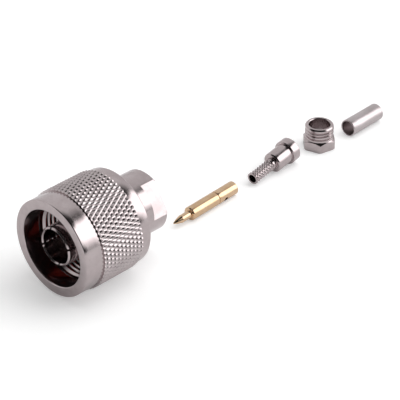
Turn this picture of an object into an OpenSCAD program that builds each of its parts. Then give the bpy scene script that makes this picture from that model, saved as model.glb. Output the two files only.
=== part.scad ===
// N type cable plug for thin coaxial cable, laid out as the kit it is sold as.
// The plug lies on its knurled nut, mating end towards -Y. Behind it, in the order
// in which they go onto the cable, lie the centre contact, the braid ferrule,
// the clamp nut (standing on its hexagon) and the crimp sleeve.
// Z is up and the surface that everything rests on is z = 0. Millimetres.

/* [Coupling nut] */
// Outer diameter of the smooth collar at the front
collar_d = 20.4; // [19.4:0.1:20.8]
// Length of the smooth collar
collar_len = 4.25; // [3:0.1:6]
// Diameter over the crests of the knurl, on which the plug lies
knurl_d = 21.3; // [20.9:0.1:24]
// Outer diameter of the smooth band behind the knurl
rear_band_d = 20.3; // [18:0.1:20.8]
// Length of the smooth band behind the knurl
rear_band_len = 2.45; // [1.5:0.1:4]
// Chamfer on the outer edges of the nut
nut_edge = 0.25; // [0.1:0.05:0.6]
// Diameter of the plain mouth that guides the jack
mouth_d = 16.2; // [16.1:0.1:17.5]
// Depth of the plain mouth
mouth_depth = 3.9; // [2:0.1:4.5]
// Minor diameter of the 5/8-24 coupling thread
coupling_minor_d = 14.88; // [14.7:0.02:15.1]
// Major diameter of the coupling thread, which the relief behind it clears
coupling_major_d = 15.88; // [15.8:0.02:16]
// How far the coupling thread runs over the gasket
thread_overlap = 0.5; // [0.2:0.1:1]
// Thickness of the nut's rear wall, which pulls on the body's flange
nut_wall = 4; // [3.2:0.1:6]

/* [Plug body] */
// Diameter of the barrel that the nut turns on
barrel_d = 13; // [12.2:0.1:13.6]
// Thickness of the flange that the nut pulls on
flange_len = 2.4; // [1.5:0.1:4]
// Bore for the outer contact and the insulator
body_bore_d = 10; // [9.2:0.1:10.4]
// Thickness of the inner web between the insulator and the rear thread
web_len = 1; // [0.5:0.1:3]
// Hole through the web for the cable's core
web_hole_d = 4.4; // [3.4:0.1:5]
// Distance across the two wrench flats at the rear
flats_across = 10.7; // [9.5:0.1:11.8]
// Length of the wrench flats
flats_len = 3.8; // [2:0.1:5]
// Elevation of one flat's normal, from +X towards +Z
flats_angle = 31; // [0:1:90]
// Chamfer on the barrel's rear edge
barrel_edge = 0.3; // [0.1:0.05:0.6]

/* [Outer contact] */
// Outer diameter of the slotted spring sleeve
contact_d = 8.3; // [8:0.05:8.6]
// Wall thickness of the spring sleeve
contact_wall = 0.6; // [0.5:0.05:0.8]
// How far the sleeve's tip lies behind the nut's front face
contact_recess = 0.9; // [0.5:0.1:2]
// Length of the sleeve in front of the gasket
finger_len = 8; // [6:0.1:10]
// Width of the slots
slot_w = 0.45; // [0.3:0.05:0.7]
// Length of the slots
slot_len = 6.5; // [4:0.1:8]
// Number of slots
slot_count = 4; // [3:1:6]
// Elevation of the first slot, from +X towards +Z
slot_angle = 15; // [0:1:90]
// Length of the thick foot pressed into the body
foot_len = 3.1; // [2:0.1:5]
// Bevel on the sleeve's front edges
contact_bevel = 0.25; // [0.05:0.05:0.25]
// Height of the land at the sleeve's base that centres the gasket
land_h = 0.2; // [0.1:0.05:0.3]

/* [Gasket and snap ring] */
// Thickness of the front gasket
gasket_len = 1.5; // [1:0.1:2.5]
// Width of the snap ring's wire along the axis
ring_w = 0.8; // [0.5:0.05:1.2]
// How far the ring stands out of the barrel
ring_proud = 0.5; // [0.3:0.05:0.8]
// Width of the gap in the ring
ring_gap = 1.6; // [0.8:0.1:3]

/* [Insulator] */
// Length of the insulator bead
insulator_len = 5; // [3:0.1:7]

/* [Centre contact] */
// Diameter of the tip that enters the jack
tip_d = 1.65; // [1.5:0.05:1.7]
// Length of the tip's straight part
tip_len = 2.5; // [1.5:0.1:5]
// Length of the tip's rounded cone
tip_cone_len = 2.2; // [1:0.1:3]
// Diameter of the tip's flattened end
tip_end_d = 0.3; // [0.1:0.05:0.6]
// Diameter of the thick shank
shank_d = 2.96; // [2.6:0.02:3.2]
// Length of the shank in front of the groove
shank_len = 7.9; // [5:0.1:9]
// Width of the shallow groove
groove_w = 0.2; // [0.1:0.05:0.5]
// Depth of the shallow groove
groove_depth = 0.12; // [0.05:0.01:0.25]
// Length of the crimp barrel behind the groove
crimp_barrel_len = 5.8; // [4:0.1:9]
// Bore for the cable's inner conductor
conductor_bore_d = 1; // [0.6:0.05:1.4]
// Depth of that bore
conductor_bore_len = 5; // [3:0.1:6]
// Diameter of the inspection hole in the crimp barrel's side
inspection_d = 1; // [0.5:0.05:1.2]
// Distance of the inspection hole behind the groove
inspection_at = 1.9; // [1.5:0.1:3]
// Elevation of the inspection hole, from +X towards +Z
inspection_angle = -22; // [-45:1:60]

/* [Braid ferrule] */
// Diameter over the knurl of the stem that goes under the braid
stem_d = 2.72; // [2.4:0.02:3]
// Length of the stem
stem_len = 6.65; // [4:0.1:8]
// Bore for the cable's dielectric
stem_bore_d = 1.85; // [1.4:0.05:2]
// Length of the thick part that passes through the clamp nut
neck_len = 4.4; // [3:0.1:6]
// Length of the head that the clamp nut traps
head_len = 2.25; // [1.5:0.05:3]
// Chamfer on the ferrule's steps
ferrule_edge = 0.25; // [0.1:0.05:0.4]

/* [Clamp nut] */
// Distance across the hexagon's flats
hex_across = 6.6; // [6.3:0.1:8]
// Height of the hexagon
hex_h = 2.3; // [1.5:0.1:4]
// Major diameter of the 1/4-36 thread
clamp_major_d = 6.3; // [6.2:0.02:6.35]
// Height of the thread's ridges, by which the tapped rear of the body is smaller all round
clamp_ridge_h = 0.35; // [0.3:0.01:0.4]
// Length of the thread
clamp_thread_len = 3.1; // [2:0.1:4]
// Bore that the ferrule's neck passes through
clamp_bore_d = 4.65; // [4.2:0.05:5]
// Turn of the hexagon about the vertical
hex_turn = 17; // [0:1:60]

/* [Crimp sleeve] */
// Wall thickness of the crimp sleeve
sleeve_wall = 0.3; // [0.2:0.05:0.6]
// Length of the crimp sleeve
sleeve_len = 9.95; // [7:0.05:13]
// Room for the braid between stem and sleeve, all round
braid_room = 0.265; // [0.15:0.005:0.4]

/* [Clearances] */
// Radial running clearance between barrel and nut
turn_clearance = 0.08; // [0.03:0.01:0.1]
// End play between the nut's wall and the body's flange
end_play = 0.1; // [0.05:0.01:0.3]
// Radial clearance of the flange in the coupling thread
flange_clearance = 0.14; // [0.1:0.01:0.3]
// Radial clearance of the relief behind the coupling thread
relief_clearance = 0.1; // [0.05:0.01:0.3]
// Clearance of the snap ring in the nut's groove, all round
ring_clearance = 0.15; // [0.1:0.01:0.3]
// Radial clearance of the gasket on its land and inside the flange's edge
gasket_clearance = 0.08; // [0.05:0.01:0.2]
// Radial clearance of the shank in the insulator
shank_clearance = 0.03; // [0.01:0.01:0.05]
// Radial clearance of the ferrule in the clamp nut and in the rear thread
ferrule_clearance = 0.1; // [0.05:0.01:0.2]

/* [Layout] */
// Space between the barrel's rear and the centre contact's tip
contact_gap = 7.4; // [6:0.1:20]
// Space between the centre contact and the ferrule
ferrule_gap = 5.1; // [3:0.1:20]
// Space between the ferrule and the clamp nut's middle
clamp_nut_gap = 8.7; // [7:0.1:20]
// Space between the clamp nut's middle and the crimp sleeve
sleeve_gap = 7.4; // [5:0.1:20]
// Sideways place and turn of the centre contact
contact_pose = [0.4, -2.9];
// Sideways place and turn of the ferrule
ferrule_pose = [0, -4.8];
// Sideways place of the clamp nut
clamp_nut_x = -0.9; // [-4:0.1:4]
// Sideways place and turn of the crimp sleeve
sleeve_pose = [0.95, -1.9];

/* [Hidden] */

nickel = [0.74, 0.72, 0.70];
gold = [0.80, 0.66, 0.40];
silicone = [0.70, 0.12, 0.08];
ptfe = [0.93, 0.92, 0.88];

// The tapped rear takes the clamp nut, and the groove goes a third of the way through the wall
rear_minor_d = clamp_major_d - 2 * clamp_ridge_h;
ring_groove_depth = (barrel_d - body_bore_d) / 2 / 3;

// Stations along the plug, from the nut's front face
gasket_front = contact_recess + finger_len;
flange_front = gasket_front + gasket_len;
flange_back = flange_front + flange_len;
foot_back = flange_front + foot_len;
insulator_back = foot_back + insulator_len;
rear_seat = insulator_back + web_len;
// the ferrule's head and the clamp nut's thread fill the rear thread, with a turn to spare
rear_spare = 0.2;
barrel_back = rear_seat + head_len + clamp_thread_len + rear_spare;
wall_front = flange_back + end_play;
nut_len = wall_front + nut_wall;
ring_middle = wall_front + nut_wall / 2;
knurl_back = nut_len - rear_band_len;
thread_front = mouth_depth + (mouth_d - coupling_minor_d) / 2;
thread_back = gasket_front + thread_overlap;

// Radii that follow from the fits
axis_h = knurl_d / 2;
contact_bore_d = contact_d - 2 * contact_wall;
flange_r = coupling_minor_d / 2 - flange_clearance;
relief_r = coupling_major_d / 2 + relief_clearance;
nut_bore_r = barrel_d / 2 + turn_clearance;
ring_in_r = barrel_d / 2 - ring_groove_depth;
ring_out_r = barrel_d / 2 + ring_proud;
nut_groove_r = ring_out_r + ring_clearance;
neck_d = clamp_bore_d - 2 * ferrule_clearance;
head_d = rear_minor_d - 2 * ferrule_clearance;
sleeve_bore_d = stem_d + 2 * braid_room;
sleeve_d = sleeve_bore_d + 2 * sleeve_wall;

// Lengths of the loose pieces
tip_all = tip_len + tip_cone_len;
// the cone bulges: this share of its length in front of the straight part, it has this share of the radius
tip_bulge = [0.62, 0.55];
barrel_front = shank_len + groove_w;
contact_back = barrel_front + crimp_barrel_len;
neck_back = stem_len + neck_len;
ferrule_len = neck_back + head_len;
// the ferrule rests on the front edges of its head and its neck, so its stem points down
ferrule_tilt = atan((head_d - neck_d) / 2 / neck_len);

// Places of the loose pieces along Y, each at the front end of the piece
contact_y = barrel_back + contact_gap;
ferrule_y = contact_y + tip_all + contact_back + ferrule_gap;
clamp_nut_y = ferrule_y + ferrule_len + clamp_nut_gap;
sleeve_y = clamp_nut_y + sleeve_gap;
layout_len = sleeve_y + sleeve_len * cos(sleeve_pose[1]) + sleeve_d / 2 * abs(sin(sleeve_pose[1]));

smooth = 180;
fine = 90;
// how far a cut runs past the face it opens
past = 1;

// Everything is moved so that the origin is under the middle of the layout
module in_frame() translate([0, -layout_len / 2, 0]) children();

// A turned piece, drawn along +Z, is laid on the plug's axis with its front at y = 0
module on_plug_axis() in_frame() translate([0, 0, axis_h]) rotate([-90, 0, 0]) children();

// A turned piece, drawn along +Z, lies at x, y with its axis at height h.
// turn swings its rear towards +X, and tilt lifts its rear.
module lying(x, y, h, turn, tilt = 0)
    in_frame() translate([x, y, h]) rotate([0, 0, -turn]) rotate([tilt, 0, 0])
        rotate([-90, 0, 0]) children();

module turned(outline, sides = smooth) rotate_extrude($fn = sides) polygon(outline);

// A disc of radius r from z0 to z1 with chamfers at its two ends
module disc(r, z0, z1, front_edge, back_edge, sides = smooth)
    turned([[0, z0], [r - front_edge, z0], [r, z0 + front_edge],
            [r, z1 - back_edge], [r - back_edge, z1], [0, z1]], sides);

// A round hole from z0 to z1
module hole(r, z0, z1, sides = smooth)
    translate([0, 0, z0]) cylinder(r = r, h = z1 - z0, $fn = sides);

// A conical widening at an edge: radius r0 at z0 to r1 at z1
module flare(r0, z0, r1, z1, sides = smooth)
    translate([0, 0, min(z0, z1)])
        cylinder(r1 = z0 < z1 ? r0 : r1, r2 = z0 < z1 ? r1 : r0, h = abs(z1 - z0), $fn = sides);

module coupling_nut() color(nickel) on_plug_axis() {
    collar_r = collar_d / 2;
    band_r = rear_band_d / 2;
    knurl_r = knurl_d / 2;
    lip = 0.2;
    difference() {
        union() {
            disc(collar_r, 0, collar_len, nut_edge, 0);
            disc(knurl_r, collar_len, knurl_back, knurl_r - collar_r, knurl_r - band_r);
            disc(band_r, knurl_back, nut_len, 0, nut_edge);
        }
        // mouth with a broken edge, then the lead into the thread
        hole(mouth_d / 2, -past, mouth_depth);
        flare(mouth_d / 2 + lip + past, -past, mouth_d / 2, lip);
        flare(mouth_d / 2, mouth_depth, coupling_minor_d / 2, thread_front);
        hole(coupling_minor_d / 2, thread_front, thread_back);
        // relief that houses the gasket and the flange
        hole(relief_r, thread_back, wall_front);
        // bearing on the barrel, with the groove that traps the snap ring
        hole(nut_bore_r, wall_front, nut_len + past);
        hole(nut_groove_r, ring_middle - ring_w / 2 - ring_clearance,
             ring_middle + ring_w / 2 + ring_clearance);
        flare(nut_bore_r, nut_len - lip, nut_bore_r + lip + past, nut_len + past);
    }
}

module plug_body() color(nickel) on_plug_axis() {
    barrel_r = barrel_d / 2;
    rear_lip = 0.25;
    difference() {
        union() {
            disc(flange_r, flange_front, flange_back, nut_edge / 2, 0);
            disc(barrel_r, flange_back, barrel_back, 0, barrel_edge);
        }
        // outer contact's foot and the insulator
        hole(body_bore_d / 2, flange_front - past, insulator_back);
        // cable core, then the thread that takes the clamp nut
        hole(web_hole_d / 2, insulator_back, rear_seat);
        hole(rear_minor_d / 2, rear_seat, barrel_back + past);
        flare(rear_minor_d / 2, barrel_back - rear_lip,
              rear_minor_d / 2 + rear_lip + past, barrel_back + past);
        // groove for the snap ring
        difference() {
            hole(barrel_r + past, ring_middle - ring_w / 2, ring_middle + ring_w / 2);
            hole(ring_in_r, ring_middle - ring_w, ring_middle + ring_w);
        }
        wrench_flats(barrel_r);
    }
}

// Two opposite flats milled into a round barrel of radius r, open to its rear
module wrench_flats(r)
    for (side = [0, 180]) rotate([0, 0, side - flats_angle])
        translate([flats_across / 2, -r, barrel_back - flats_len])
            cube([r, 2 * r, flats_len + past]);

module outer_contact() color(nickel) on_plug_axis() {
    contact_r = contact_d / 2;
    bore_r = contact_bore_d / 2;
    slot_pitch = 360 / slot_count;
    // the slots lie half a pitch from the sleeve's own zero, and the whole sleeve is turned to suit
    rotate([0, 0, -slot_angle - slot_pitch / 2]) difference() {
        union() {
            disc(contact_r, contact_recess, flange_front, contact_bevel, 0);
            hole(contact_r + land_h, gasket_front, flange_front);
            hole(body_bore_d / 2, flange_front, foot_back);
        }
        hole(bore_r, contact_recess - past, foot_back + past);
        flare(bore_r + contact_bevel + past, contact_recess - past,
              bore_r, contact_recess + contact_bevel);
        for (i = [0 : slot_count - 1]) rotate([0, 0, (i + 0.5) * slot_pitch])
            translate([bore_r / 2, -slot_w / 2, contact_recess - past])
                cube([contact_r, slot_w, slot_len + past]);
    }
}

module front_gasket() color(silicone) on_plug_axis() {
    in_r = contact_d / 2 + land_h + gasket_clearance;
    out_r = flange_r - gasket_clearance;
    round = 0.3;
    turned([[in_r, gasket_front + round], [in_r + round, gasket_front],
            [out_r - round, gasket_front], [out_r, gasket_front + round],
            [out_r, flange_front], [in_r, flange_front]]);
}

// A C-shaped ring of square wire, sprung into the barrel's groove
module snap_ring() color(nickel) on_plug_axis() {
    z0 = ring_middle - ring_w / 2;
    z1 = ring_middle + ring_w / 2;
    difference() {
        turned([[ring_in_r, z0], [ring_out_r, z0], [ring_out_r, z1], [ring_in_r, z1]]);
        translate([-ring_gap / 2, 0, z0 - past]) cube([ring_gap, ring_out_r + past, ring_w + 2 * past]);
    }
}

module insulator() color(ptfe) on_plug_axis() {
    bore_r = shank_d / 2 + shank_clearance;
    edge = 0.3;
    difference() {
        disc(body_bore_d / 2, foot_back, insulator_back, 0, edge);
        hole(bore_r, foot_back - past, insulator_back + past, fine);
        flare(bore_r, insulator_back - edge, bore_r + edge + past, insulator_back + past, fine);
    }
}

module centre_contact() color(gold)
    lying(contact_pose[0], contact_y, shank_d / 2, contact_pose[1]) translate([0, 0, tip_all]) {
        tip_r = tip_d / 2;
        end_r = tip_end_d / 2;
        shank_r = shank_d / 2;
        groove_r = shank_r - groove_depth;
        edge = 0.25;
        difference() {
            // tip, shoulder, shank, groove and crimp barrel in one outline
            turned([[0, -tip_all], [end_r, -tip_all], [tip_r * tip_bulge[0], -tip_len - tip_cone_len * tip_bulge[1]],
                    [tip_r, -tip_len], [tip_r, 0], [shank_r - edge, 0], [shank_r, edge],
                    [shank_r, shank_len], [groove_r, shank_len], [groove_r, barrel_front],
                    [shank_r, barrel_front], [shank_r, contact_back - edge],
                    [shank_r - edge, contact_back], [0, contact_back]], fine);
            hole(conductor_bore_d / 2, contact_back - conductor_bore_len, contact_back + past, fine);
            flare(conductor_bore_d / 2, contact_back - edge,
                  conductor_bore_d / 2 + edge + past, contact_back + past, fine);
            rotate([0, 0, -inspection_angle]) translate([0, 0, barrel_front + inspection_at])
                rotate([0, 90, 0]) cylinder(r = inspection_d / 2, h = shank_d, $fn = fine);
        }
    }

module braid_ferrule() color(nickel)
    lying(ferrule_pose[0], ferrule_y, head_d / 2 * cos(ferrule_tilt) - neck_back * sin(ferrule_tilt),
          ferrule_pose[1], ferrule_tilt) {
        bore_r = stem_bore_d / 2;
        difference() {
            union() {
                disc(stem_d / 2, 0, stem_len + past, ferrule_edge, 0, fine);
                disc(neck_d / 2, stem_len, neck_back + past, ferrule_edge, 0, fine);
                disc(head_d / 2, neck_back, ferrule_len, ferrule_edge / 2, ferrule_edge, fine);
            }
            hole(bore_r, -past, ferrule_len + past, fine);
            flare(bore_r, ferrule_len - ferrule_edge,
                  bore_r + ferrule_edge + past, ferrule_len + past, fine);
        }
    }

module clamp_nut() color(nickel)
    in_frame() translate([clamp_nut_x, clamp_nut_y, 0]) {
        thread_r = clamp_major_d / 2;
        bore_r = clamp_bore_d / 2;
        height = hex_h + clamp_thread_len;
        corner_r = hex_across / sqrt(3);
        edge = 0.25;
        foot_edge = 0.2;
        difference() {
            union() {
                hex_head(corner_r, thread_r, foot_edge);
                disc(thread_r, hex_h / 2, height, 0, edge);
            }
            hole(bore_r, -past, height + past);
            flare(bore_r, height - edge / 2, bore_r + edge / 2 + past, height + past);
            flare(bore_r + edge / 2 + past, -past, bore_r, edge / 2);
        }
    }

// Hexagon whose corners are turned down by a cone from the thread's foot
module hex_head(corner_r, thread_r, foot_edge) {
    slope = 36;
    intersection() {
        rotate([0, 0, hex_turn]) cylinder(r = corner_r, h = hex_h, $fn = 6);
        turned([[0, 0], [corner_r - foot_edge, 0], [corner_r + past, foot_edge + past],
                [corner_r + past, hex_h - (corner_r + past - thread_r) * tan(slope)],
                [thread_r, hex_h], [0, hex_h]]);
    }
}

module crimp_sleeve() color(nickel)
    lying(sleeve_pose[0], sleeve_y, sleeve_d / 2, sleeve_pose[1]) {
        edge = sleeve_wall / 3;
        difference() {
            disc(sleeve_d / 2, 0, sleeve_len, edge, edge);
            hole(sleeve_bore_d / 2, -past, sleeve_len + past);
        }
    }

coupling_nut();
plug_body();
outer_contact();
front_gasket();
snap_ring();
insulator();
centre_contact();
braid_ferrule();
clamp_nut();
crimp_sleeve();
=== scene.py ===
"""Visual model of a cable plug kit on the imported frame. Metres, Z up, the plug's axis along Y.

Outlines are in millimetres as (y, r, rounding), with y measured along the piece's own axis.
"""
import bpy
import bmesh
import math
import numpy as np
from mathutils import Euler, Matrix, Vector


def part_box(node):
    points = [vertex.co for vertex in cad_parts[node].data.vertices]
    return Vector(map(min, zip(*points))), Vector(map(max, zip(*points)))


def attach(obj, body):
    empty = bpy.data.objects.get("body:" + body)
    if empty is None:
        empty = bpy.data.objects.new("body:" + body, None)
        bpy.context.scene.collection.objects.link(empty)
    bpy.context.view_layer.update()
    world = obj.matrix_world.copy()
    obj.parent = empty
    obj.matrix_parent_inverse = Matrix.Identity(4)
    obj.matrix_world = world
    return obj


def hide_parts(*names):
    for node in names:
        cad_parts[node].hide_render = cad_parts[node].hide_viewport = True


MM = 0.001

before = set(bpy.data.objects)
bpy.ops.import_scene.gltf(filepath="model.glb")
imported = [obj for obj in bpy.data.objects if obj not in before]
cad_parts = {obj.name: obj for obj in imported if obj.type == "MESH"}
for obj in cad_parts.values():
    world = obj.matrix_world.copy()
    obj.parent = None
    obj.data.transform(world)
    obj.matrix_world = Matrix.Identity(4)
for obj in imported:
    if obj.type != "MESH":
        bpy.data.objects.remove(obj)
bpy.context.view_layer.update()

# ---------------------------------------------------------------- places

NUT_LOW, NUT_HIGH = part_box("coupling_nut")
AXIS_HEIGHT = (NUT_LOW.z + NUT_HIGH.z) / 2
PLUG_FRONT = NUT_LOW.y

# Radii that the loose pieces rest on; the ferrule lies on its neck and on the front edge of its head
SHANK_R = 1.48
NECK_R = 2.225
NECK_LEN = 4.4
HEAD_R = 2.7
HEAD_START = 11.05
SLEEVE_R = 1.925

FERRULE_LEAN = math.atan((HEAD_R - NECK_R) / NECK_LEN)
FERRULE_HEIGHT = HEAD_R * math.cos(FERRULE_LEAN) - HEAD_START * math.sin(FERRULE_LEAN)

# Distance behind the plug's front, sideways place, height of the axis, turn and tilt of each
CONTACT_AT = (32.45, 0.4, SHANK_R, -2.9, 0.0)
FERRULE_AT = (56.15, 0.0, FERRULE_HEIGHT, -4.8, math.degrees(FERRULE_LEAN))
SLEEVE_AT = (85.55, 0.95, SLEEVE_R, -1.9, 0.0)
CLAMP_BEHIND, CLAMP_ASIDE = 78.15, -0.9


def lying(behind, aside, height, turn, tilt):
    """Place of a piece that lies on its side: where its front is and how its axis is turned."""
    spot = Vector((aside * MM, PLUG_FRONT + behind * MM, height * MM))
    swing = Euler((math.radians(tilt), 0, -math.radians(turn)), "XYZ")
    return spot, swing


PLUG_PLACE = (Vector((0, PLUG_FRONT, AXIS_HEIGHT)), Euler((0, 0, 0)))
CONTACT_PLACE = lying(*CONTACT_AT)
FERRULE_PLACE = lying(*FERRULE_AT)
SLEEVE_PLACE = lying(*SLEEVE_AT)
CLAMP_SPOT = Vector((CLAMP_ASIDE * MM, PLUG_FRONT + CLAMP_BEHIND * MM, 0))
CLAMP_PLACE = (CLAMP_SPOT, Euler((math.radians(90), 0, 0)))  # stands on its hexagon


def matrix_of(place):
    """Takes a piece's own millimetres to metres in its place."""
    spot, swing = place
    return Matrix.Translation(spot) @ swing.to_matrix().to_4x4() @ Matrix.Scale(MM, 4)


# ---------------------------------------------------------------- camera

# Metres from the point under the plug's front, then degrees down and round
CAMERA_SPOT = (0.24390, -0.20513, 0.22590)
CAMERA_DOWN = 32.74
CAMERA_SWING = 44.80
CAMERA_LENS = 180


def make_camera():
    data = bpy.data.cameras.new("camera")
    data.lens = CAMERA_LENS
    data.sensor_width = 36
    data.clip_start = 0.01
    data.clip_end = 10
    camera = bpy.data.objects.new("camera", data)
    bpy.context.scene.collection.objects.link(camera)
    camera.location = (CAMERA_SPOT[0], CAMERA_SPOT[1] + PLUG_FRONT, CAMERA_SPOT[2])
    camera.rotation_euler = (math.radians(90 - CAMERA_DOWN), 0, math.radians(CAMERA_SWING))
    bpy.context.scene.camera = camera


# ---------------------------------------------------------------- node helpers

class Graph:
    """Short calls for building a node tree."""

    def __init__(self, tree):
        self.tree = tree

    def node(self, kind, **settings):
        made = self.tree.nodes.new(kind)
        for key, value in settings.items():
            setattr(made, key, value)
        return made

    def feed(self, socket, value):
        if isinstance(value, bpy.types.NodeSocket):
            self.tree.links.new(value, socket)
        elif value is not None:
            socket.default_value = value

    def math(self, operation, a, b=None, c=None):
        made = self.node("ShaderNodeMath", operation=operation)
        for socket, value in zip(made.inputs, (a, b, c)):
            self.feed(socket, value)
        return made.outputs[0]

    def vector(self, x, y, z):
        made = self.node("ShaderNodeCombineXYZ")
        for socket, value in zip(made.inputs, (x, y, z)):
            self.feed(socket, value)
        return made.outputs[0]

    def split(self, vector):
        made = self.node("ShaderNodeSeparateXYZ")
        self.feed(made.inputs[0], vector)
        return made.outputs

    def noise(self, vector, scale, detail=2.0, roughness=0.5):
        made = self.node("ShaderNodeTexNoise")
        self.feed(made.inputs["Vector"], vector)
        self.feed(made.inputs["Scale"], scale)
        self.feed(made.inputs["Detail"], detail)
        self.feed(made.inputs["Roughness"], roughness)
        return made.outputs["Fac"]

    def between(self, factor, low, high, start=0.0, end=1.0):
        made = self.node("ShaderNodeMapRange")
        self.feed(made.inputs["Value"], factor)
        self.feed(made.inputs["From Min"], start)
        self.feed(made.inputs["From Max"], end)
        self.feed(made.inputs["To Min"], low)
        self.feed(made.inputs["To Max"], high)
        return made.outputs["Result"]

    def tint(self, factor, first, second):
        made = self.node("ShaderNodeMix", data_type="RGBA")
        self.feed(made.inputs[0], factor)
        self.feed(made.inputs[6], (*first, 1))
        self.feed(made.inputs[7], (*second, 1))
        return made.outputs[2]

    def bump(self, height, distance, strength, under=None):
        made = self.node("ShaderNodeBump")
        self.feed(made.inputs["Height"], height)
        self.feed(made.inputs["Distance"], distance)
        self.feed(made.inputs["Strength"], strength)
        self.feed(made.inputs["Normal"], under)
        return made.outputs["Normal"]


def new_material(name):
    material = bpy.data.materials.new(name)
    material.use_nodes = True
    graph = Graph(material.node_tree)
    return material, graph, material.node_tree.nodes["Principled BSDF"]


def own_millimetres(graph, place):
    """Object coordinates seen from the piece's own axis, in millimetres."""
    spot, swing = place
    where = graph.node("ShaderNodeTexCoord").outputs["Object"]
    mapping = graph.node("ShaderNodeMapping", vector_type="TEXTURE")
    graph.feed(mapping.inputs["Vector"], where)
    graph.feed(mapping.inputs["Location"], tuple(spot))
    graph.feed(mapping.inputs["Rotation"], tuple(swing))
    graph.feed(mapping.inputs["Scale"], (MM, MM, MM))
    return mapping.outputs["Vector"]


def tool_rings(graph, own):
    """A point that is the same all round the axis, so that noise read there runs in rings."""
    x, y, z = graph.split(own)
    square = graph.math("ADD", graph.math("MULTIPLY", x, x), graph.math("MULTIPLY", z, z))
    return graph.vector(graph.math("SQRT", square), y, 0.0)


# ---------------------------------------------------------------- materials

# Colours of the plating where it is clean and where it is stained; the knurl's pair is the nut's nickel
# set a little lighter, a painted highlight that brightens the teeth
NICKEL_LIGHT, NICKEL_DEEP = (0.56, 0.49, 0.495), (0.49, 0.42, 0.425)
KNURL_LIGHT_WITH_PAINTED_HIGHLIGHT, KNURL_DEEP = (0.58, 0.515, 0.52), (0.49, 0.43, 0.435)
SLEEVE_LIGHT, SLEEVE_DEEP = (0.62, 0.56, 0.57), (0.54, 0.48, 0.485)
GOLD_LIGHT, GOLD_DEEP = (0.76, 0.55, 0.37), (0.68, 0.46, 0.28)
BRONZE_LIGHT, BRONZE_DEEP = (0.76, 0.50, 0.27), (0.66, 0.42, 0.22)
RUBBER_LIGHT, RUBBER_DEEP = (0.62, 0.07, 0.04), (0.42, 0.035, 0.025)
PTFE_LIGHT, PTFE_DEEP = (0.90, 0.89, 0.86), (0.82, 0.80, 0.75)

# Roughness from the cleanest to the most worn spot
GLOSSY = (0.10, 0.20)
SATIN = (0.12, 0.22)
FERRULE_GLOSS = (0.09, 0.16)
KNURL_GLOSS = (0.07, 0.13)
BRONZE_GLOSS = (0.25, 0.38)
SLEEVE_GLOSS = (0.28, 0.38)

# Depth in metres of the marks that the bump maps stand for
RING_MARK = 0.00002
SCUFF_MARK = 0.00001
RUBBER_MARK = 0.00002
PTFE_MARK = 0.00003


def plated_metal(name, place, light, deep, gloss, ring_depth):
    """Bright plating over turned brass: fine tool rings, faint stains and small scuffs."""
    material, graph, shader = new_material(name)
    own = own_millimetres(graph, place)
    rings = tool_rings(graph, own)
    stain = graph.noise(own, 0.35, 3.0, 0.6)
    ring = graph.noise(rings, 9.0, 3.0, 0.7)
    scuff = graph.noise(own, 5.0, 4.0, 0.65)
    colour = graph.tint(graph.between(stain, 0.0, 1.0, 0.35, 0.65), deep, light)
    graph.feed(shader.inputs["Base Color"], colour)
    shader.inputs["Metallic"].default_value = 1.0
    low, high = gloss
    worn = graph.math("ADD", graph.math("MULTIPLY", scuff, 0.6), graph.math("MULTIPLY", ring, 0.4))
    graph.feed(shader.inputs["Roughness"], graph.between(worn, low, high, 0.35, 0.68))
    rippled = graph.bump(ring, RING_MARK, ring_depth)
    graph.feed(shader.inputs["Normal"], graph.bump(scuff, SCUFF_MARK, ring_depth * 0.7, rippled))
    return material


def nickel_of_plug():
    return plated_metal("plug_nickel", PLUG_PLACE, NICKEL_LIGHT, NICKEL_DEEP, GLOSSY, 0.25)


def nickel_of_body():
    return plated_metal("body_nickel", PLUG_PLACE, NICKEL_LIGHT, NICKEL_DEEP, SATIN, 0.25)


def nickel_of_knurl():
    # The knurl's lighter colours are painted highlight on the teeth, mixed with random stains
    return plated_metal("knurl_nickel_painted_highlight", PLUG_PLACE, KNURL_LIGHT_WITH_PAINTED_HIGHLIGHT, KNURL_DEEP, KNURL_GLOSS, 0.2)


def nickel_of_ferrule():
    return plated_metal("ferrule_nickel", FERRULE_PLACE, NICKEL_LIGHT, NICKEL_DEEP, FERRULE_GLOSS, 0.25)


def nickel_of_clamp_nut():
    return plated_metal("clamp_nickel", CLAMP_PLACE, NICKEL_LIGHT, NICKEL_DEEP, SATIN, 0.25)


def nickel_of_sleeve():
    return plated_metal("sleeve_nickel", SLEEVE_PLACE, SLEEVE_LIGHT, SLEEVE_DEEP, SLEEVE_GLOSS, 0.3)


def gold_plate():
    return plated_metal("gold_plate", CONTACT_PLACE, GOLD_LIGHT, GOLD_DEEP, GLOSSY, 0.25)


def spring_bronze():
    return plated_metal("spring_bronze", PLUG_PLACE, BRONZE_LIGHT, BRONZE_DEEP, BRONZE_GLOSS, 0.2)


def silicone_rubber():
    """Red rubber with a dull skin, slightly darker in patches."""
    material, graph, shader = new_material("silicone_rubber")
    own = own_millimetres(graph, PLUG_PLACE)
    patch = graph.noise(own, 0.8, 3.0, 0.6)
    grain = graph.noise(own, 14.0, 3.0, 0.6)
    graph.feed(shader.inputs["Base Color"], graph.tint(patch, RUBBER_DEEP, RUBBER_LIGHT))
    graph.feed(shader.inputs["Roughness"], graph.between(grain, 0.42, 0.6))
    shader.inputs["Subsurface Weight"].default_value = 0.1
    shader.inputs["Subsurface Radius"].default_value = (0.001, 0.0004, 0.0003)
    graph.feed(shader.inputs["Normal"], graph.bump(grain, RUBBER_MARK, 0.3))
    return material


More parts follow.
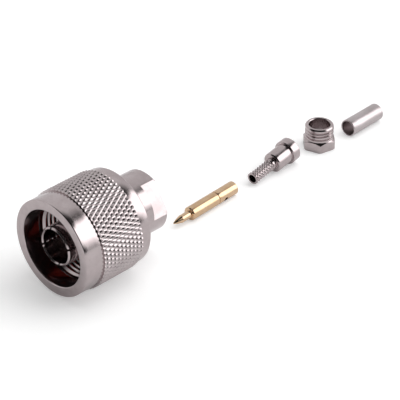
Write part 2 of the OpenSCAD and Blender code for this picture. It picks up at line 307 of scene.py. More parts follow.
def turned_ptfe():
    """White waxy plastic with the rings of the cutting tool."""
    material, graph, shader = new_material("turned_ptfe")
    own = own_millimetres(graph, PLUG_PLACE)
    ring = graph.noise(tool_rings(graph, own), 6.0, 3.0, 0.6)
    cloud = graph.noise(own, 0.7, 2.0, 0.5)
    graph.feed(shader.inputs["Base Color"], graph.tint(cloud, PTFE_DEEP, PTFE_LIGHT))
    graph.feed(shader.inputs["Roughness"], graph.between(ring, 0.35, 0.5))
    shader.inputs["Subsurface Weight"].default_value = 0.25
    shader.inputs["Subsurface Radius"].default_value = (0.0012, 0.0011, 0.0010)
    graph.feed(shader.inputs["Normal"], graph.bump(ring, PTFE_MARK, 0.35))
    return material


# ---------------------------------------------------------------- turned shapes

NEARLY_STRAIGHT = 1.55  # half the corner's angle, in radians, past which no arc is needed
ARC_SHARE = 0.48        # most of a neighbouring wall that an arc may take


def rounded(corners, closed, steps=4):
    """The outline's points, each corner (y, r, rounding) replaced by an arc."""
    count = len(corners)
    points = []
    for i, (y, r, radius) in enumerate(corners):
        here = Vector((y, r))
        if radius <= 0 or (not closed and i in (0, count - 1)):
            points.append(here)
            continue
        before = Vector(corners[i - 1][:2]) - here
        after = Vector(corners[(i + 1) % count][:2]) - here
        half = before.angle(after) / 2
        if half > NEARLY_STRAIGHT:
            points.append(here)
            continue
        reach = min(radius / math.tan(half), before.length * ARC_SHARE, after.length * ARC_SHARE)
        start = here + before.normalized() * reach
        end = here + after.normalized() * reach
        toward = (before.normalized() + after.normalized()).normalized()
        centre = here + toward * (reach / math.cos(half))
        first = start - centre
        last = end - centre
        sweep = first.angle(last)
        for k in range(steps + 1):
            share = k / steps
            a = math.sin((1 - share) * sweep) / math.sin(sweep)
            b = math.sin(share * sweep) / math.sin(sweep)
            points.append(centre + first * a + last * b)
    return points


def turned_shell(corners, sides, closed=True, steps=4, angles=None, trim=None, split=None):
    """Vertices and faces of an outline turned about its axis, which runs along Y.

    trim gives the radii of a ring that isn't round. split cuts long walls into shorter ones."""
    points = rounded(corners, closed, steps)
    if split:
        longer = []
        for i, p in enumerate(points):
            longer.append(p)
            if not closed and i == len(points) - 1:
                break
            q = points[(i + 1) % len(points)]
            pieces = int((q - p).length // split)
            longer.extend(p.lerp(q, k / (pieces + 1)) for k in range(1, pieces + 1))
        points = longer
    if angles is None:
        angles = np.arange(sides) * (2 * math.pi / sides)
    vertices = []
    rings = []
    for y, r in points:
        if r < 1e-6:
            rings.append([len(vertices)])
            vertices.append((0.0, y, 0.0))
            continue
        radii = np.full(len(angles), r) if trim is None else trim(y, r, angles)
        rings.append(list(range(len(vertices), len(vertices) + len(angles))))
        vertices.extend(zip(radii * np.cos(angles), np.full(len(angles), y), radii * np.sin(angles)))
    faces = []
    pairs = list(zip(rings, rings[1:]))
    if closed:
        pairs.append((rings[-1], rings[0]))
    count = len(angles)
    for one, two in pairs:
        for k in range(count):
            n = (k + 1) % count
            if len(one) == 1:
                faces.append((one[0], two[n], two[k]))
            elif len(two) == 1:
                faces.append((one[k], one[n], two[0]))
            else:
                faces.append((one[k], one[n], two[n], two[k]))
    return vertices, faces


SAME_POINT = 2e-7  # metres


def outward(mesh):
    """Merges doubles, drops flat slivers and turns a closed shell's faces outwards."""
    work = bmesh.new()
    work.from_mesh(mesh)
    bmesh.ops.remove_doubles(work, verts=work.verts, dist=SAME_POINT)
    bmesh.ops.dissolve_degenerate(work, dist=SAME_POINT, edges=work.edges)
    bmesh.ops.recalc_face_normals(work, faces=work.faces)
    if work.calc_volume(signed=True) < 0:
        bmesh.ops.reverse_faces(work, faces=work.faces)
    work.to_mesh(mesh)
    work.free()


def new_piece(name, vertices, faces, place, material):
    mesh = bpy.data.meshes.new(name)
    mesh.from_pydata([tuple(v) for v in vertices], [], faces)
    mesh.transform(matrix_of(place))
    outward(mesh)
    piece = bpy.data.objects.new(name, mesh)
    bpy.context.scene.collection.objects.link(piece)
    if material:
        mesh.materials.append(material)
    return piece


def settle(piece):
    """Turns a piece's modifiers into its plain mesh."""
    bpy.context.view_layer.update()
    ready = piece.evaluated_get(bpy.context.evaluated_depsgraph_get())
    mesh = bpy.data.meshes.new_from_object(ready)
    mesh.name = piece.name
    old = piece.data
    piece.modifiers.clear()
    piece.data = mesh
    bpy.data.meshes.remove(old)
    return piece


def smooth(piece, angle=32):
    """Smooth shading on the turned faces, with flat walls left flat."""
    piece.data.shade_smooth()
    piece.data.set_sharp_from_angle(angle=math.radians(angle))
    weighted = piece.modifiers.new("weighted", "WEIGHTED_NORMAL")
    weighted.mode = "FACE_AREA"
    weighted.weight = 100
    weighted.keep_sharp = True
    return settle(piece)


def cut_away(piece, cutter):
    """Takes the cutter's shape out of the piece and removes the cutter."""
    modifier = piece.modifiers.new("cut", "BOOLEAN")
    modifier.operation = "DIFFERENCE"
    modifier.solver = "EXACT"
    modifier.object = cutter
    settle(piece)
    mesh = cutter.data
    bpy.data.objects.remove(cutter)
    bpy.data.meshes.remove(mesh)


def block(name, low, high, turn, place):
    """A cutting box between two corners in the piece's own millimetres, turned about its axis."""
    corners = [(x, y, z) for x in (low[0], high[0]) for y in (low[1], high[1]) for z in (low[2], high[2])]
    spin = Matrix.Rotation(-math.radians(turn), 4, "Y")
    faces = [(0, 1, 3, 2), (4, 6, 7, 5), (0, 4, 5, 1), (2, 3, 7, 6), (0, 2, 6, 4), (1, 5, 7, 3)]
    return new_piece(name, [spin @ Vector(corner) for corner in corners], faces, place, None)


def hand_over(piece, body, node=None):
    """Says which body the piece moves with and the node it stands in for."""
    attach(piece, body)
    if node:
        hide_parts(node)


# ---------------------------------------------------------------- patterns that repeat

def new_tree(name, sizes):
    """A geometry tree with the named sizes and a material as its inputs."""
    tree = bpy.data.node_groups.new(name, "GeometryNodeTree")
    for label, kind in sizes:
        tree.interface.new_socket(label, in_out="INPUT", socket_type=kind)
    tree.interface.new_socket("Material", in_out="INPUT", socket_type="NodeSocketMaterial")
    tree.interface.new_socket("Geometry", in_out="OUTPUT", socket_type="NodeSocketGeometry")
    graph = Graph(tree)
    inputs = graph.node("NodeGroupInput").outputs
    return tree, graph, inputs


def close_tree(graph, geometry, inputs):
    """Ends a tree: instances made real, material set, result handed out."""
    real = graph.node("GeometryNodeRealizeInstances")
    graph.feed(real.inputs[0], geometry)
    paint = graph.node("GeometryNodeSetMaterial")
    graph.feed(paint.inputs["Geometry"], real.outputs[0])
    graph.feed(paint.inputs["Material"], inputs["Material"])
    graph.feed(graph.node("NodeGroupOutput").inputs[0], paint.outputs[0])


def grown(name, tree, values, material, place):
    """Runs a geometry tree once and keeps its result as a plain mesh in place."""
    mesh = bpy.data.meshes.new(name)
    piece = bpy.data.objects.new(name, mesh)
    bpy.context.scene.collection.objects.link(piece)
    modifier = piece.modifiers.new("pattern", "NODES")
    modifier.node_group = tree
    for item in tree.interface.items_tree:
        if item.in_out == "INPUT" and item.name in values:
            modifier[item.identifier] = values[item.name]
        if item.in_out == "INPUT" and item.name == "Material":
            modifier[item.identifier] = material
    settle(piece)
    if place:
        piece.data.transform(matrix_of(place))
    return piece


TOOTH_POINTS = 7      # points along each side of a tooth
GROOVE_SLOPE = 1.333  # steepness of a groove's flank, as a share of the depth
FLANK_START = 0.5     # where the rounded floor ends, from the groove's middle to the tooth's
FLANK_OFFSET = FLANK_START / 2
TOOTH_SEAM = 0.005    # millimetres within which neighbouring teeth are joined


def knurl_tree():
    """Four-sided teeth between crossing grooves with rounded floors, wrapped round a cylinder along Y."""
    tree, graph, size = new_tree("diamond_knurl", [
        ("Columns", "NodeSocketInt"), ("Rows", "NodeSocketInt"), ("Radius", "NodeSocketFloat"),
        ("Pitch", "NodeSocketFloat"), ("Shift", "NodeSocketFloat"), ("Turn", "NodeSocketFloat"),
        ("Depth", "NodeSocketFloat")])
    around = graph.math("MULTIPLY", size["Radius"], 2 * math.pi)
    pitch_u = graph.math("DIVIDE", around, size["Columns"])
    patch = graph.node("GeometryNodeMeshGrid")
    for label, value in (("Size X", 1.0), ("Size Y", 1.0),
                         ("Vertices X", TOOTH_POINTS), ("Vertices Y", TOOTH_POINTS)):
        graph.feed(patch.inputs[label], value)
    p, q, _ = graph.split(graph.node("GeometryNodeInputPosition").outputs[0])
    # each groove rises as a parabola from its floor, then as a straight flank, and the lower one counts
    rises = []
    for along in (p, q):
        t = graph.math("SUBTRACT", 1.0, graph.math("MULTIPLY", graph.math("ABSOLUTE", along), 2.0))
        floor_part = graph.math("MULTIPLY", graph.math("MULTIPLY", t, t), GROOVE_SLOPE)
        flank_part = graph.math("MULTIPLY", graph.math("SUBTRACT", t, FLANK_OFFSET), GROOVE_SLOPE)
        past = graph.math("GREATER_THAN", t, FLANK_START)
        rises.append(graph.between(past, floor_part, flank_part))
    rise = graph.math("MULTIPLY", graph.math("MINIMUM", *rises), size["Depth"])
    half_u = graph.math("MULTIPLY", pitch_u, 0.5)
    half_v = graph.math("MULTIPLY", size["Pitch"], 0.5)
    x = graph.math("MULTIPLY", graph.math("SUBTRACT", p, q), half_u)
    y = graph.math("MULTIPLY", graph.math("ADD", p, q), half_v)
    tooth = graph.node("GeometryNodeSetPosition")
    graph.feed(tooth.inputs["Geometry"], patch.outputs["Mesh"])
    graph.feed(tooth.inputs["Position"], graph.vector(x, y, rise))
    both = graph.node("GeometryNodeJoinGeometry")
    for step in (0.0, 0.5):
        grid = graph.node("GeometryNodeMeshGrid")
        graph.feed(grid.inputs["Size X"], graph.math("SUBTRACT", around, pitch_u))
        rows = graph.math("SUBTRACT", size["Rows"], 1.0)
        graph.feed(grid.inputs["Size Y"], graph.math("MULTIPLY", size["Pitch"], rows))
        graph.feed(grid.inputs["Vertices X"], size["Columns"])
        graph.feed(grid.inputs["Vertices Y"], size["Rows"])
        moved = graph.node("GeometryNodeTransform")
        graph.feed(moved.inputs["Geometry"], grid.outputs["Mesh"])
        aside = graph.math("MULTIPLY", pitch_u, graph.math("ADD", size["Turn"], step))
        onward = graph.math("MULTIPLY", size["Pitch"], graph.math("ADD", size["Shift"], step))
        graph.feed(moved.inputs["Translation"], graph.vector(aside, onward, 0.0))
        graph.tree.links.new(moved.outputs[0], both.inputs[0])
    spread = graph.node("GeometryNodeInstanceOnPoints")
    graph.feed(spread.inputs["Points"], both.outputs[0])
    graph.feed(spread.inputs["Instance"], tooth.outputs[0])
    real = graph.node("GeometryNodeRealizeInstances")
    graph.feed(real.inputs[0], spread.outputs[0])
    u, v, w = graph.split(graph.node("GeometryNodeInputPosition").outputs[0])
    angle = graph.math("DIVIDE", graph.math("MULTIPLY", u, -1.0), size["Radius"])
    radius = graph.math("ADD", size["Radius"], w)
    x = graph.math("MULTIPLY", radius, graph.math("COSINE", angle))
    z = graph.math("MULTIPLY", radius, graph.math("SINE", angle))
    wrap = graph.node("GeometryNodeSetPosition")
    graph.feed(wrap.inputs["Geometry"], real.outputs[0])
    graph.feed(wrap.inputs["Position"], graph.vector(x, v, z))
    joined = graph.node("GeometryNodeMergeByDistance")
    graph.feed(joined.inputs["Geometry"], wrap.outputs[0])
    graph.feed(joined.inputs["Distance"], TOOTH_SEAM)
    close_tree(graph, joined.outputs[0], size)
    return tree


def close_band(mesh, length, inside):
    """Cuts a knurled band square at both ends and closes it with end walls and an inner wall."""
    work = bmesh.new()
    work.from_mesh(mesh)
    for end, facing in ((0.0, -1), (length, 1)):
        everything = work.verts[:] + work.edges[:] + work.faces[:]
        bmesh.ops.bisect_plane(work, geom=everything, dist=1e-5, plane_co=(0, end, 0),
                               plane_no=(0, facing, 0), clear_outer=True)
    rim = [edge for edge in work.edges if edge.is_boundary]
    for corner in bmesh.ops.extrude_edge_only(work, edges=rim)["geom"]:
        if isinstance(corner, bmesh.types.BMVert):
            share = inside / math.hypot(corner.co.x, corner.co.z)
            corner.co.x *= share
            corner.co.z *= share
    bmesh.ops.bridge_loops(work, edges=[edge for edge in work.edges if edge.is_boundary])
    bmesh.ops.recalc_face_normals(work, faces=work.faces)
    work.to_mesh(mesh)
    work.free()


def knurl(name, start, length, inside, values, metal, place):
    """A knurled band that starts at that distance along the piece's axis, hollow inside."""
    piece = grown(name, KNURL, values, metal, None)
    close_band(piece.data, length, inside)
    spot, swing = place
    piece.data.transform(matrix_of((spot + swing.to_matrix() @ Vector((0, start * MM, 0)), swing)))
    return smooth(piece, 30)


THREAD_FADE = 14.0   # how fast the ridge grows from its ends, over the whole length
THREAD_END = 0.12    # size of the ridge at its very ends
THREAD_FOOT = 0.86   # width of the ridge at its foot and at its crest, in pitches
THREAD_CREST = 0.16


def thread_tree():
    """One ridge wound as a helix along Z, with ends that fade out."""
    tree, graph, size = new_tree("thread_ridge", [
        ("Turns", "NodeSocketFloat"), ("Radius", "NodeSocketFloat"), ("Length", "NodeSocketFloat"),
        ("Foot", "NodeSocketFloat"), ("Crest", "NodeSocketFloat"), ("Height", "NodeSocketFloat"),
        ("Facing", "NodeSocketFloat"), ("Steps", "NodeSocketInt")])
    helix = graph.node("GeometryNodeCurveSpiral")
    graph.feed(helix.inputs["Reverse"], True)
    graph.feed(helix.inputs["Resolution"], size["Steps"])
    graph.feed(helix.inputs["Rotations"], size["Turns"])
    graph.feed(helix.inputs["Start Radius"], size["Radius"])
    graph.feed(helix.inputs["End Radius"], size["Radius"])
    graph.feed(helix.inputs["Height"], size["Length"])
    upright = graph.node("GeometryNodeSetCurveNormal", mode="Z_UP")
    graph.feed(upright.inputs["Curve"], helix.outputs[0])
    share = graph.node("GeometryNodeSplineParameter").outputs["Factor"]
    nearest = graph.math("MINIMUM", share, graph.math("SUBTRACT", 1.0, share))
    grow = graph.math("ADD", graph.math("MULTIPLY", nearest, THREAD_FADE), THREAD_END)
    fade = graph.math("MINIMUM", grow, 1.0)
    ridge = graph.node("GeometryNodeCurvePrimitiveQuadrilateral", mode="TRAPEZOID")
    graph.feed(ridge.inputs["Bottom Width"], size["Foot"])
    graph.feed(ridge.inputs["Top Width"], size["Crest"])
    graph.feed(ridge.inputs["Height"], size["Height"])
    graph.feed(ridge.inputs["Offset"], 0.0)
    footed = graph.node("GeometryNodeTransform")
    graph.feed(footed.inputs["Geometry"], ridge.outputs[0])
    half = graph.math("MULTIPLY", size["Height"], 0.5)
    graph.feed(footed.inputs["Translation"], graph.vector(0.0, half, 0.0))
    faced = graph.node("GeometryNodeTransform")
    graph.feed(faced.inputs["Geometry"], footed.outputs[0])
    graph.feed(faced.inputs["Rotation"], graph.vector(0.0, 0.0, size["Facing"]))
    wound = graph.node("GeometryNodeCurveToMesh")
    graph.feed(wound.inputs["Curve"], upright.outputs[0])
    graph.feed(wound.inputs["Scale"], fade)
    graph.feed(wound.inputs["Profile Curve"], faced.outputs[0])
    graph.feed(wound.inputs["Fill Caps"], True)
    close_tree(graph, wound.outputs[0], size)
    return tree


KNURL = knurl_tree()
THREAD = thread_tree()


def thread(name, start, radius, pitch, turns, height, inward, metal, place, steps=96):
    """A right-handed thread's ridge on a root of that radius, wound along the axis from start."""
    spot, swing = place
    length = pitch * turns
    along = swing.to_matrix() @ Vector((0, start * MM, 0))
    # the ridge is wound along Z, so it is laid over onto Y first
    over = (swing.to_matrix() @ Matrix.Rotation(-math.pi / 2, 3, "X")).to_euler()
    piece = grown(name, THREAD, {
        "Turns": turns, "Radius": radius, "Length": length, "Foot": pitch * THREAD_FOOT,
        "Crest": pitch * THREAD_CREST, "Height": height, "Steps": steps,
        "Facing": math.pi / 2 if inward else -math.pi / 2},
        metal, (spot + along, over))
    outward(piece.data)
    return smooth(piece, 25)


# ---------------------------------------------------------------- the plug

COUPLING_PITCH = 1.058  # 24 threads an inch
CLAMP_PITCH = 0.7056    # 36 threads an inch
NUT_KNURL = {
    "Columns": 68, "Rows": 7, "Radius": 10.345, "Pitch": 1.97, "Shift": 2.5, "Turn": 0.39, "Depth": 0.30}
BARREL_R = 6.5
FLATS_START = 21.25
FLATS_REACH = 5.35      # from the axis to each wrench flat
FLATS_TURNS = (31, 211) # degrees round the axis to the middle of each flat
FLATS_STEP = 0.0002     # the two rings at the flats' start lie this far apart
SLOT_TURN = 15          # degrees round the axis to the sleeve's first slot
GAP_HALF = 0.8          # half the snap ring's gap


def coupling_nut(metal, knurl_metal):
    """Collar, knurled grip, rear band, mouth, coupling thread, relief and bearing with its groove."""
    outline = [
        (0, 10.2, 0.16), (4.2, 10.2, 0.06), (4.26, 10.12, 0.04), (4.34, 10.12, 0.03), (4.38, 10.33, 0),
        (14.36, 10.33, 0), (14.4, 10.05, 0.04), (14.46, 10.05, 0.03), (14.5, 10.15, 0.04),
        (16.9, 10.15, 0.3), (16.9, 6.75, 0.12), (15.45, 6.58, 0.03),
        (15.45, 7.15, 0.05), (14.35, 7.15, 0.05), (14.35, 6.58, 0.05), (12.9, 6.58, 0.12),
        (12.9, 8.04, 0.12), (9.4, 8.04, 0.1), (9.25, 7.94, 0), (4.2, 7.94, 0), (3.9, 8.1, 0.1),
        (0, 8.1, 0.22)]
    shell = new_piece("coupling_nut_shell", *turned_shell(outline, 256, split=1.2), PLUG_PLACE, metal)
    smooth(shell)
    hand_over(shell, "nut", "coupling_nut")
    teeth = knurl("coupling_nut_knurl", 4.36, 10.02, 10.0, NUT_KNURL, knurl_metal, PLUG_PLACE)
    hand_over(teeth, "nut")
    ridge = thread("coupling_nut_thread", 4.7, 7.96, COUPLING_PITCH, 4.2, 0.52, True, metal, PLUG_PLACE)
    hand_over(ridge, "nut")


def flats_of_barrel(y, r, angles):
    """Radii of the barrel, cut down to its two wrench flats towards the rear."""
    radii = np.full(len(angles), r)
    if y > FLATS_START + FLATS_STEP / 2 and r > FLATS_REACH:
        for side in FLATS_TURNS:
            lean = np.cos(angles - math.radians(side))
            reach = np.where(lean > 0.1, FLATS_REACH / np.maximum(lean, 0.1), np.inf)
            radii = np.minimum(radii, reach)
    return radii


def angles_with_flats(sides, radius):
    """Even steps round the circle, with extra ones where the flats meet the barrel."""
    even = list(np.arange(sides) * (2 * math.pi / sides))
    spread = math.acos(FLATS_REACH / radius)
    for side in FLATS_TURNS:
        for edge in (-spread, spread):
            even.append((math.radians(side) + edge) % (2 * math.pi))
    return np.array(sorted(even))


def plug_body(metal):
    """Flange, barrel with snap ring groove, wrench flats, bore, web and tapped rear."""
    outline = [
        (10.4, 7.3, 0.12), (12.8, 7.3, 0.05), (12.8, BARREL_R, 0.08), (14.5, BARREL_R, 0.04),
        (14.5, 6.0, 0.03), (15.3, 6.0, 0.03), (15.3, BARREL_R, 0.04), (FLATS_START, BARREL_R, 0),
        (FLATS_START + FLATS_STEP, BARREL_R, 0), (24.75, BARREL_R, 0),
        (25.05, 6.2, 0.1), (25.05, 3.3, 0.1), (24.85, 3.16, 0.05), (19.5, 3.16, 0.05), (19.5, 2.2, 0.08),
        (18.5, 2.2, 0.08), (18.5, 5.0, 0.05), (10.4, 5.0, 0.1)]
    around = angles_with_flats(224, BARREL_R)
    shape = turned_shell(outline, 0, angles=around, trim=flats_of_barrel, split=1.2)
    shell = new_piece("plug_body_shell", *shape, PLUG_PLACE, metal)
    smooth(shell, 24)
    hand_over(shell, "kit", "plug_body")
    ridge = thread("plug_body_thread", 19.7, 3.17, CLAMP_PITCH, 7.0, 0.36, True, metal, PLUG_PLACE, 64)
    hand_over(ridge, "kit")


def outer_contact(metal):
    """Spring sleeve with four slots, its land and the foot pressed into the body."""
    outline = [
        (0.9, 3.8, 0.06), (1.15, 4.15, 0.12), (8.9, 4.15, 0.04), (8.9, 4.35, 0.05), (10.4, 4.35, 0),
        (10.4, 5.0, 0.1), (13.5, 5.0, 0.1), (13.5, 3.55, 0.1), (1.15, 3.55, 0.12), (0.9, 3.78, 0.06)]
    sleeve = new_piece("outer_contact", *turned_shell(outline, 192, split=1.5), PLUG_PLACE, metal)
    for k in range(4):
        turn = SLOT_TURN + 90 * k
        slot = block("slot_cut", (3.0, 0.5, -0.225), (4.6, 7.4, 0.225), turn, PLUG_PLACE)
        cut_away(sleeve, slot)
    smooth(sleeve, 24)
    hand_over(sleeve, "kit", "outer_contact")


def front_gasket(rubber):
    """Square rubber ring on the land at the sleeve's foot."""
    outline = [(8.9, 4.43, 0.3), (8.9, 7.22, 0.35), (10.4, 7.22, 0.1), (10.4, 4.43, 0.1)]
    gasket = new_piece("front_gasket", *turned_shell(outline, 160, steps=6), PLUG_PLACE, rubber)
    smooth(gasket, 40)
    hand_over(gasket, "kit", "front_gasket")


def snap_ring(bronze):
    """Square wire bent round, with a gap at the bottom."""
    half = math.asin(GAP_HALF / BARREL_R)
    angles = np.linspace(-math.pi / 2 + half, 1.5 * math.pi - half, 97)
    corners = rounded([(14.5, 6.0, 0.08), (14.5, 7.0, 0.1), (15.3, 7.0, 0.1), (15.3, 6.0, 0.08)], True)
    vertices = [(r * math.cos(a), y, r * math.sin(a)) for a in angles for y, r in corners]
    count = len(corners)
    faces = []
    for k in range(len(angles) - 1):
        for j in range(count):
            n = (j + 1) % count
            faces.append((k * count + j, k * count + n, (k + 1) * count + n, (k + 1) * count + j))
    last = (len(angles) - 1) * count
    faces.append(tuple(range(count)))
    faces.append(tuple(reversed(range(last, last + count))))
    ring = new_piece("snap_ring", vertices, faces, PLUG_PLACE, bronze)
    smooth(ring, 40)
    hand_over(ring, "kit", "snap_ring")


def insulator(plastic):
    """Bored bead that carries the centre contact."""
    outline = [(13.5, 1.51, 0.06), (13.5, 5.0, 0.06), (18.2, 5.0, 0.04), (18.5, 4.7, 0.04),
               (18.5, 1.81, 0.04), (18.2, 1.51, 0.04)]
    bead = new_piece("insulator", *turned_shell(outline, 160, split=1.5), PLUG_PLACE, plastic)
    smooth(bead, 30)
    hand_over(bead, "kit", "insulator")


# ---------------------------------------------------------------- the loose pieces

HOLE_BEHIND = 14.7  # the inspection hole's place along the contact and round it
HOLE_TURN = 22
FERRULE_KNURL = {
    "Columns": 10, "Rows": 10, "Radius": 1.13, "Pitch": 0.78, "Shift": 3.5, "Turn": 0.3, "Depth": 0.23}
HEX_HALF = 3.3      # from the axis to each flat of the hexagon
HEX_CORNER = 3.81
HEX_TOP = 2.3
HEX_INNER = 3.2     # rings smaller than this are round
HEX_TURN = 17
HEX_SLOPE = math.tan(math.radians(36))


def centre_contact(metal):
    """Pointed pin, shoulder, shank, groove and crimp barrel with its bore and inspection hole."""
    outline = [
        (0, 0, 0), (0, 0.15, 0.08), (1.0, 0.5115, 0.6), (2.2, 0.825, 0.5), (4.7, 0.825, 0.05),
        (4.7, 1.26, 0.08), (4.92, SHANK_R, 0.12), (12.6, SHANK_R, 0.05), (12.6, 1.36, 0.03),
        (12.8, 1.36, 0.03), (12.8, SHANK_R, 0.05), (18.35, SHANK_R, 0.08), (18.6, 1.23, 0.06),
        (18.6, 0.72, 0.05), (18.4, 0.5, 0.04), (13.6, 0.5, 0.05), (13.35, 0, 0)]
    shape = turned_shell(outline, 128, closed=False, split=1.0)
    pin = new_piece("centre_contact", *shape, CONTACT_PLACE, metal)
    drill = turned_shell([(0, 0, 0), (0, 0.5, 0), (1.8, 0.5, 0), (1.8, 0, 0)], 48, closed=False)
    spot, swing = CONTACT_PLACE
    turned = swing.to_matrix() @ Matrix.Rotation(math.radians(HOLE_TURN), 3, "Y")
    aim = turned @ Matrix.Rotation(-math.pi / 2, 3, "Z")
    hole_at = spot + swing.to_matrix() @ Vector((0, HOLE_BEHIND * MM, 0))
    bit = new_piece("inspection_cut", *drill, (hole_at, aim.to_euler()), metal)
    cut_away(pin, bit)
    smooth(pin, 24)
    hand_over(pin, "kit", "centre_contact")


def braid_ferrule(metal):
    """Knurled stem, neck and head, bored through."""
    outline = [
        (0, 1.3, 0.05), (0.1, 1.34, 0.03), (0.14, 1.14, 0), (5.8, 1.14, 0.03), (5.86, 1.33, 0.03),
        (6.65, 1.33, 0.03), (6.65, 2.0, 0.08), (6.9, NECK_R, 0.1), (HEAD_START, NECK_R, 0.04),
        (HEAD_START, 2.58, 0.06), (11.17, HEAD_R, 0.08), (13.05, HEAD_R, 0.1), (13.3, 2.45, 0.08),
        (13.3, 1.17, 0.06), (13.05, 0.925, 0.06), (0, 0.925, 0.08)]
    body = new_piece("braid_ferrule", *turned_shell(outline, 144, split=1.0), FERRULE_PLACE, metal)
    smooth(body, 24)
    hand_over(body, "kit", "braid_ferrule")
    teeth = knurl("braid_ferrule_knurl", 0.14, 5.66, 1.1, FERRULE_KNURL, metal, FERRULE_PLACE)
    hand_over(teeth, "kit")


def hexagon(y, r, angles):
    """Radii of the hexagon's ring, cut to its six flats below the thread."""
    if y > HEX_TOP + 0.0001 or r < HEX_INNER:
        return np.full(len(angles), r)
    lean = (angles + math.radians(HEX_TURN)) % (math.pi / 3) - math.pi / 6
    return np.minimum(r, HEX_HALF / np.cos(lean))


def clamp_nut(metal):
    """Hexagon with turned corners, threaded stem and plain bore."""
    outline = [(0.0, 3.61, 0.05), (0.2, HEX_CORNER, 0.05)]
    outline += [(HEX_TOP - (r - 3.15) * HEX_SLOPE, r, 0) for r in np.linspace(HEX_CORNER, HEX_INNER, 14)]
    outline += [
        (HEX_TOP, 3.15, 0), (2.34, 3.12, 0), (2.74, 3.12, 0.05), (2.88, 2.76, 0.03), (4.62, 2.76, 0.03),
        (4.72, 3.12, 0.04), (5.12, 3.12, 0.06), (5.4, 2.86, 0.05), (5.4, 2.45, 0.04),
        (5.27, 2.325, 0.04), (0.13, 2.325, 0.04), (0.0, 2.45, 0.04)]
    lines = [math.radians(60 * k - HEX_TURN) for k in range(6)]
    even = list(np.arange(240) * (2 * math.pi / 240))
    angles = np.array(sorted(even + [a % (2 * math.pi) for a in lines]))
    shape = turned_shell(outline, 0, angles=angles, trim=hexagon)
    shell = new_piece("clamp_nut_shell", *shape, CLAMP_PLACE, metal)
    smooth(shell, 24)
    hand_over(shell, "kit", "clamp_nut")
    ridge = thread("clamp_nut_thread", 2.84, 2.74, CLAMP_PITCH, 2.5, 0.38, False, metal, CLAMP_PLACE, 64)
    hand_over(ridge, "kit")


def crimp_sleeve(metal):
    """Plain thin tube."""
    outline = [(0, 1.625, 0.08), (0, SLEEVE_R, 0.1), (9.95, SLEEVE_R, 0.1), (9.95, 1.625, 0.08)]
    tube = new_piece("crimp_sleeve", *turned_shell(outline, 144, split=1.0), SLEEVE_PLACE, metal)
    smooth(tube, 24)
    hand_over(tube, "kit", "crimp_sleeve")


# ---------------------------------------------------------------- floor and light

FLOOR_REACH = 2.0
FLOOR_DEEP, FLOOR_LIGHT = (0.80, 0.80, 0.80), (0.82, 0.82, 0.82)
LIFT_SEEN = 0.37      # glow that brings the floor up to white for the camera
LIFT_MIRRORED = 0.10  # and the smaller one that mirrors show


def make_floor():
    """White paper that keeps the shadow and is seen as white."""
    mesh = bpy.data.meshes.new("floor")
    corners = [(x * FLOOR_REACH, y * FLOOR_REACH, 0) for x, y in ((-1, -1), (1, -1), (1, 1), (-1, 1))]
    mesh.from_pydata(corners, [], [(0, 1, 2, 3)])
    floor = bpy.data.objects.new("floor", mesh)
    bpy.context.scene.collection.objects.link(floor)
    material, graph, shader = new_material("floor_paper")
    grain = graph.noise(graph.node("ShaderNodeTexCoord").outputs["Object"], 900.0, 2.0)
    graph.feed(shader.inputs["Base Color"], graph.tint(grain, FLOOR_DEEP, FLOOR_LIGHT))
    shader.inputs["Roughness"].default_value = 0.9
    shader.inputs["Specular IOR Level"].default_value = 0.0
    shader.inputs["Emission Color"].default_value = (1, 1, 1, 1)
    light = graph.node("ShaderNodeLightPath").outputs
    seen = graph.math("MAXIMUM", light["Is Camera Ray"], light["Is Transmission Ray"])
    mirrored = graph.math("MULTIPLY", light["Is Glossy Ray"], LIFT_MIRRORED)
    lift = graph.math("MAXIMUM", graph.math("MULTIPLY", seen, LIFT_SEEN), mirrored)
    graph.feed(shader.inputs["Emission Strength"], lift)
    mesh.materials.append(material)


def softbox(name, azimuth, elevation, distance, width, height, radiance):
    """A rectangular lamp that faces the plug's middle from that direction."""
    lamp = bpy.data.lights.new(name, "AREA")
    lamp.shape = "RECTANGLE"
    lamp.size = width
    lamp.size_y = height
    lamp.energy = radiance * math.pi * width * height
    piece = bpy.data.objects.new(name, lamp)
    bpy.context.scene.collection.objects.link(piece)
    a, e = math.radians(azimuth), math.radians(elevation)
    away = Vector((math.cos(e) * math.cos(a), math.cos(e) * math.sin(a), math.sin(e)))
    piece.location = away * distance + Vector((0, 0, 0.01))
    piece.rotation_euler = away.to_track_quat("Z", "Y").to_euler()
    return piece


# Levels of the surroundings; directions are degrees of azimuth and height from the plug
WALL_GREY = 0.73
ROOM_GREY = 0.02
ROOM_AIM = (-38, 38)
ROOM_EDGE = (81, 67)        # degrees from the room's middle: all wall, then all dark
WINDOW_BRIGHT = 2.45
WINDOW_OPENS = (12.0, 24.0)
WINDOW_CLOSES = (66.0, 77.0)
WINDOW_SILL = (-2.0, 20.0)
WINDOW_LINTEL = (47.0, 53.0)
SILL_PIVOT = 36.0           # azimuth at which the sloping sill has its stated height
SILL_SLOPE = 0.8


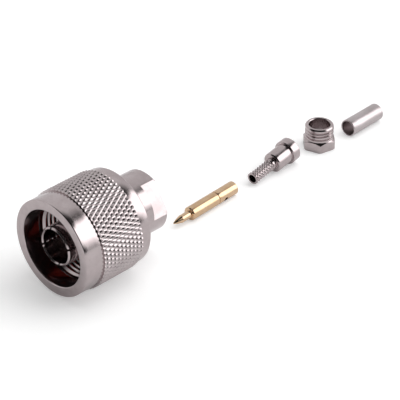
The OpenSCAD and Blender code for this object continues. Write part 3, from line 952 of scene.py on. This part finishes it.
def make_world():
    """Grey studio walls, a dark room in front and overhead, and one large soft window at the right."""
    world = bpy.data.worlds.new("studio")
    bpy.context.scene.world = world
    world.use_nodes = True
    graph = Graph(world.node_tree)
    sky = world.node_tree.nodes["Background"]
    x, y, z = graph.split(graph.node("ShaderNodeTexCoord").outputs["Object"])
    a, e = (math.radians(part) for part in ROOM_AIM)
    near = graph.math("MULTIPLY", x, math.cos(e) * math.cos(a))
    near = graph.math("MULTIPLY_ADD", y, math.cos(e) * math.sin(a), near)
    near = graph.math("MULTIPLY_ADD", z, math.sin(e), near)
    wall = graph.between(near, WALL_GREY, ROOM_GREY, *(math.cos(math.radians(part)) for part in ROOM_EDGE))
    azimuth = graph.math("DEGREES", graph.math("ARCTAN2", y, x))
    height = graph.math("DEGREES", graph.math("ARCSINE", z))
    open_at = graph.between(azimuth, 0.0, 1.0, *WINDOW_OPENS)
    closed_at = graph.between(azimuth, 1.0, 0.0, *WINDOW_CLOSES)
    # the sill slopes: it is lower where the azimuth is larger
    sloping = graph.math("MULTIPLY_ADD", graph.math("SUBTRACT", azimuth, SILL_PIVOT), SILL_SLOPE, height)
    sill = graph.between(sloping, 0.0, 1.0, *WINDOW_SILL)
    lintel = graph.between(height, 1.0, 0.0, *WINDOW_LINTEL)
    across = graph.math("MULTIPLY", open_at, closed_at)
    window = graph.math("MULTIPLY", across, graph.math("MULTIPLY", sill, lintel))
    shade = graph.between(window, wall, WINDOW_BRIGHT)
    graph.feed(sky.inputs["Color"], graph.vector(shade, shade, shade))
    sky.inputs["Strength"].default_value = 1.0


def make_lights():
    """One lamp that lights the floor and isn't mirrored in the metal."""
    fill = softbox("floor_lamp", 60, 75, 0.90, 0.80, 0.80, 2.4)
    fill.visible_glossy = False


def main():
    bpy.context.scene.view_settings.view_transform = "Standard"
    make_camera()
    make_floor()
    make_world()
    make_lights()
    plug_metal = nickel_of_plug()
    coupling_nut(plug_metal, nickel_of_knurl())
    plug_body(nickel_of_body())
    outer_contact(plug_metal)
    front_gasket(silicone_rubber())
    snap_ring(spring_bronze())
    insulator(turned_ptfe())
    centre_contact(gold_plate())
    braid_ferrule(nickel_of_ferrule())
    clamp_nut(nickel_of_clamp_nut())
    crimp_sleeve(nickel_of_sleeve())


main()
